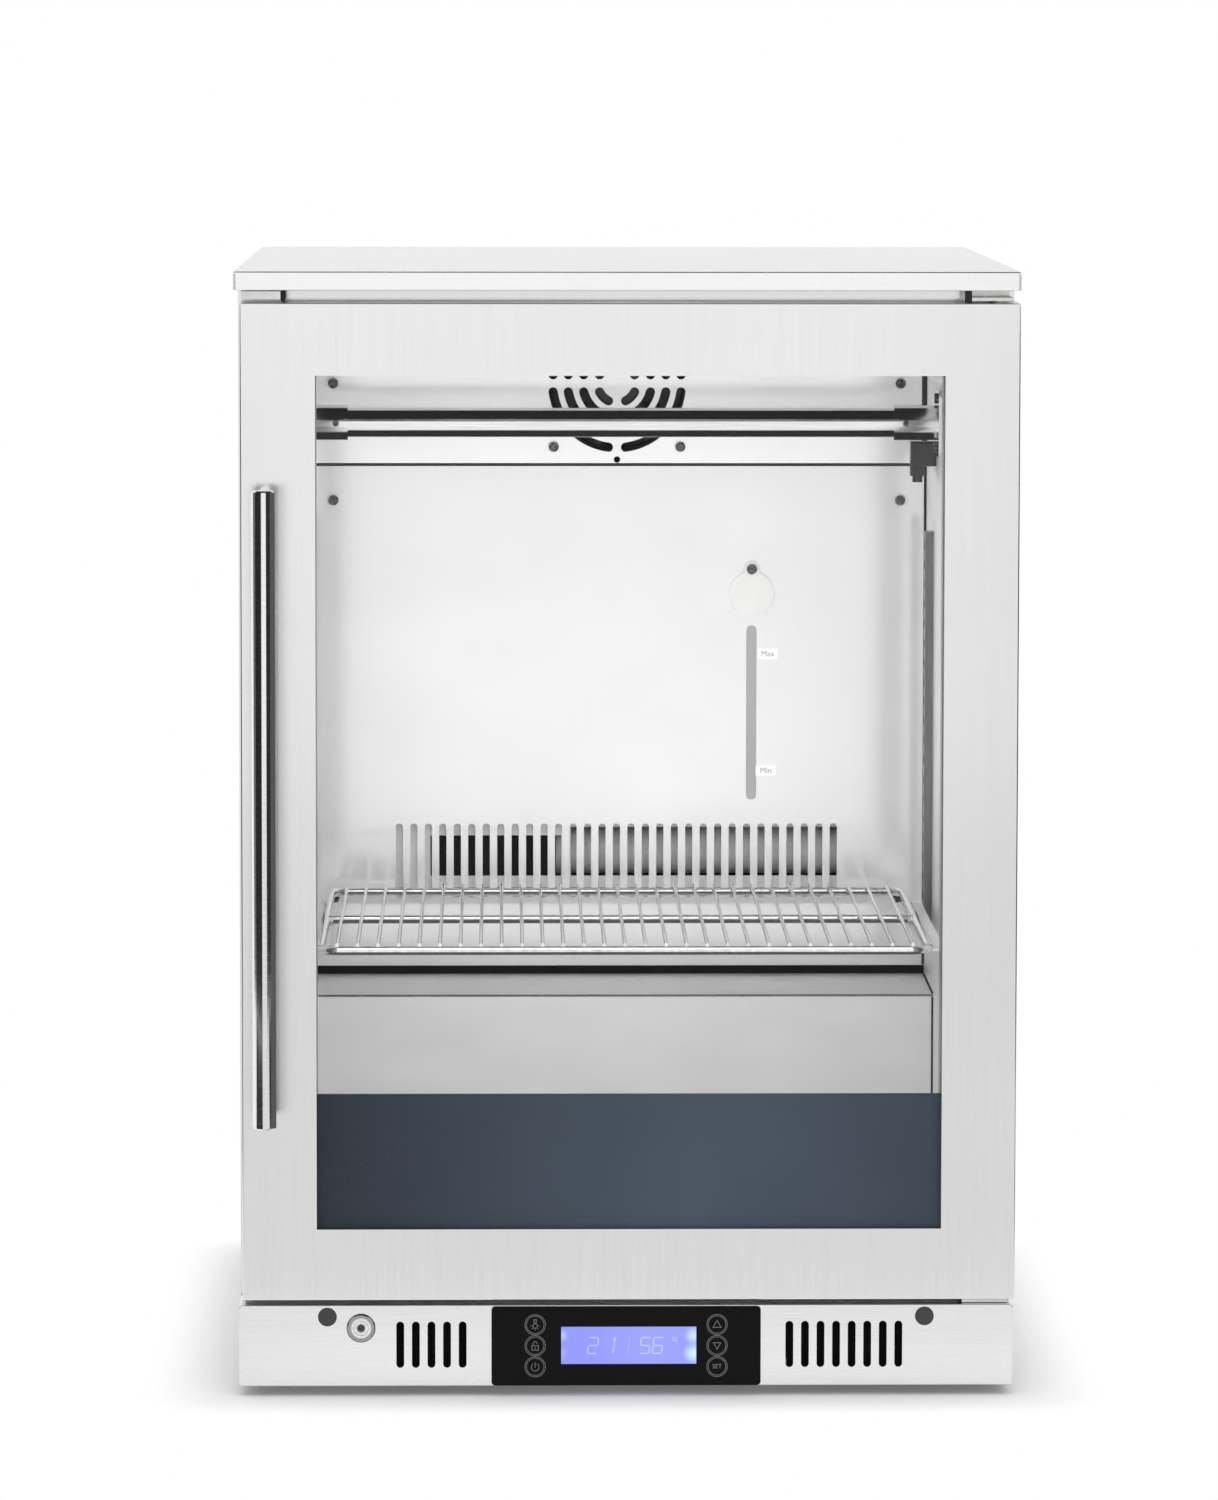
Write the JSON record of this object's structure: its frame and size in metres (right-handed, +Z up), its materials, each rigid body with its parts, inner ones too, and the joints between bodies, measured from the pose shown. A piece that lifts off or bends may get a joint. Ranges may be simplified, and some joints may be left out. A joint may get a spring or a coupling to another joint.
{
  "type": "dry aging cabinet",
  "caption": "Undercounter dry aging cabinet with a hinged glass door, bar handle, hanging rod, wire shelf, fan cooled chamber and a fascia with controls and lock.",
  "frame": {"origin": "centre of the footprint of the whole object, handle included, on the floor plane", "axes": "+Z up, -Y towards the door and the user, +X to the user's right"},
  "size_m": [0.6, 0.645, 0.866],
  "materials": {
    "worktop_steel": "brushed stainless sheet",
    "case_steel": "brushed stainless sheet",
    "foam": null,
    "liner_steel": "satin stainless sheet",
    "frame_plastic": "pale grey coated steel",
    "galvanised_steel": "galvanised sheet",
    "hinge_steel": "zinc plated steel",
    "pin_steel": "polished steel",
    "screw_steel": "plated steel",
    "foot_plastic": "moulded black",
    "door_steel": "vertical brushed stainless sheet",
    "door_plastic": "moulded grey",
    "clear_glass": "clear float glass",
    "spacer_aluminium": "anodised",
    "blue_enamel": "dark slate blue gloss",
    "gasket_rubber": "soft moulded",
    "handle_steel": "fine turned stainless",
    "bush_nylon": "moulded nylon",
    "fascia_steel": "fine brushed stainless sheet",
    "black_glass": "black backed glass",
    "display_blue": "backlit blue display",
    "circuit_board": "green laminate",
    "plug_plastic": "moulded dark grey",
    "lock_chrome": "polished plated",
    "cover_steel": "bright satin stainless sheet",
    "fan_plastic": "moulded black",
    "coil_aluminium": "mill finish",
    "tank_plastic": "translucent white",
    "gauge_plastic": "grey translucent",
    "fill_plastic": "moulded white",
    "rod_steel": "satin stainless tube",
    "sensor_plastic": "moulded black",
    "wire_steel": "polished stainless wire",
    "lamp_diffuser": "opal diffuser",
    "compressor_enamel": "black enamel",
    "mount_rubber": "moulded",
    "copper": null,
    "tray_plastic": "moulded black",
    "inlet_plastic": "moulded black"
  },
  "bodies": {
    "cabinet": {"base_pan": "galvanised_steel", "case_panels": "case_steel", "ceiling_lamp": "lamp_diffuser", "circulation_fan_frame": "fan_plastic", "compressor": "compressor_enamel", "compressor_mounts": "mount_rubber", "condenser": "coil_aluminium", "condenser_fan_frame": "fan_plastic", "control_board": "circuit_board", "control_glass": "black_glass", "cover_rails": "liner_steel", "cover_screws": "screw_steel", "display": "display_blue", "drip_tray": "tray_plastic", "evaporator": "coil_aluminium", "evaporator_cover": "cover_steel", "fan_cover": "cover_steel", "fascia_panel": "fascia_steel", "fascia_plugs": "plug_plastic", "filter_drier": "copper", "fitting_screws": "screw_steel", "front_frame": "frame_plastic", "hanging_rod": "rod_steel", "hinge_blank": "hinge_steel", "hinge_brackets": "hinge_steel", "hinge_pins": "pin_steel", "humidity_sensor": "sensor_plastic", "inner_liner": "liner_steel", "insulation": "foam", "level_gauge": "gauge_plastic", "lock_housing": "lock_chrome", "power_inlet": "inlet_plastic", "rear_panel": "galvanised_steel", "refrigerant_pipes": "copper", "rod_sockets": "rod_steel", "shelf_rails": "liner_steel", "support_strips": "liner_steel", "water_tank": "tank_plastic", "worktop": "worktop_steel"},
    "door": {"door_frame": "door_steel", "door_profile": "door_plastic", "glass_outer": "clear_glass", "glass_inner": "clear_glass", "glass_spacer": "spacer_aluminium", "lower_band": "blue_enamel", "door_gasket": "gasket_rubber", "handle_bar": "handle_steel", "handle_standoffs": "handle_steel", "handle_screws": "screw_steel", "hinge_bushes": "bush_nylon"},
    "shelf": {"shelf": "wire_steel"},
    "circulation_fan": {"circulation_fan_wheel": "fan_plastic"},
    "condenser_fan": {"condenser_fan_wheel": "fan_plastic"},
    "lock": {"lock_barrel": "lock_chrome", "lock_cam": "screw_steel"},
    "fill_cover": {"fill_cover": "fill_plastic"},
    "foot_front_left": {"foot_front_left": "foot_plastic"},
    "foot_rear_left": {"foot_rear_left": "foot_plastic"},
    "foot_front_right": {"foot_front_right": "foot_plastic"},
    "foot_rear_right": {"foot_rear_right": "foot_plastic"}
  },
  "joints": [
    {"name": "door_hinge", "type": "hinge", "parent": "cabinet", "child": "door", "pos_m": [0.2845, -0.2595, 0.4583], "axis": [0, 0, 1], "range_deg": [0, 110]},
    {"name": "lock_turn", "type": "hinge", "parent": "cabinet", "child": "lock", "pos_m": [-0.2039, -0.2655, 0.0534], "axis": [0, -1, 0], "range_deg": [0, 90]},
    {"name": "shelf_lift", "type": "slide", "parent": "cabinet", "child": "shelf", "axis": [0, 0, 1], "range_m": [0, 0.03]},
    {"name": "fill_cover_swing", "type": "hinge", "parent": "cabinet", "child": "fill_cover", "pos_m": [0.112, 0.1615, 0.6038], "axis": [0, 1, 0], "range_deg": [0, 90]},
    {"name": "circulation_fan_spin", "type": "hinge", "parent": "cabinet", "child": "circulation_fan", "pos_m": [0, 0.1765, 0.758], "axis": [0, 1, 0], "continuous": true},
    {"name": "condenser_fan_spin", "type": "hinge", "parent": "cabinet", "child": "condenser_fan", "pos_m": [-0.1, 0.2065, 0.074], "axis": [1, 0, 0], "continuous": true},
    {"name": "foot_front_left_level", "type": "slide", "parent": "cabinet", "child": "foot_front_left", "axis": [0, 0, -1], "range_m": [0, 0.015]},
    {"name": "foot_rear_left_level", "type": "slide", "parent": "cabinet", "child": "foot_rear_left", "axis": [0, 0, -1], "range_m": [0, 0.015]},
    {"name": "foot_front_right_level", "type": "slide", "parent": "cabinet", "child": "foot_front_right", "axis": [0, 0, -1], "range_m": [0, 0.015]},
    {"name": "foot_rear_right_level", "type": "slide", "parent": "cabinet", "child": "foot_rear_right", "axis": [0, 0, -1], "range_m": [0, 0.015]}
  ]
}
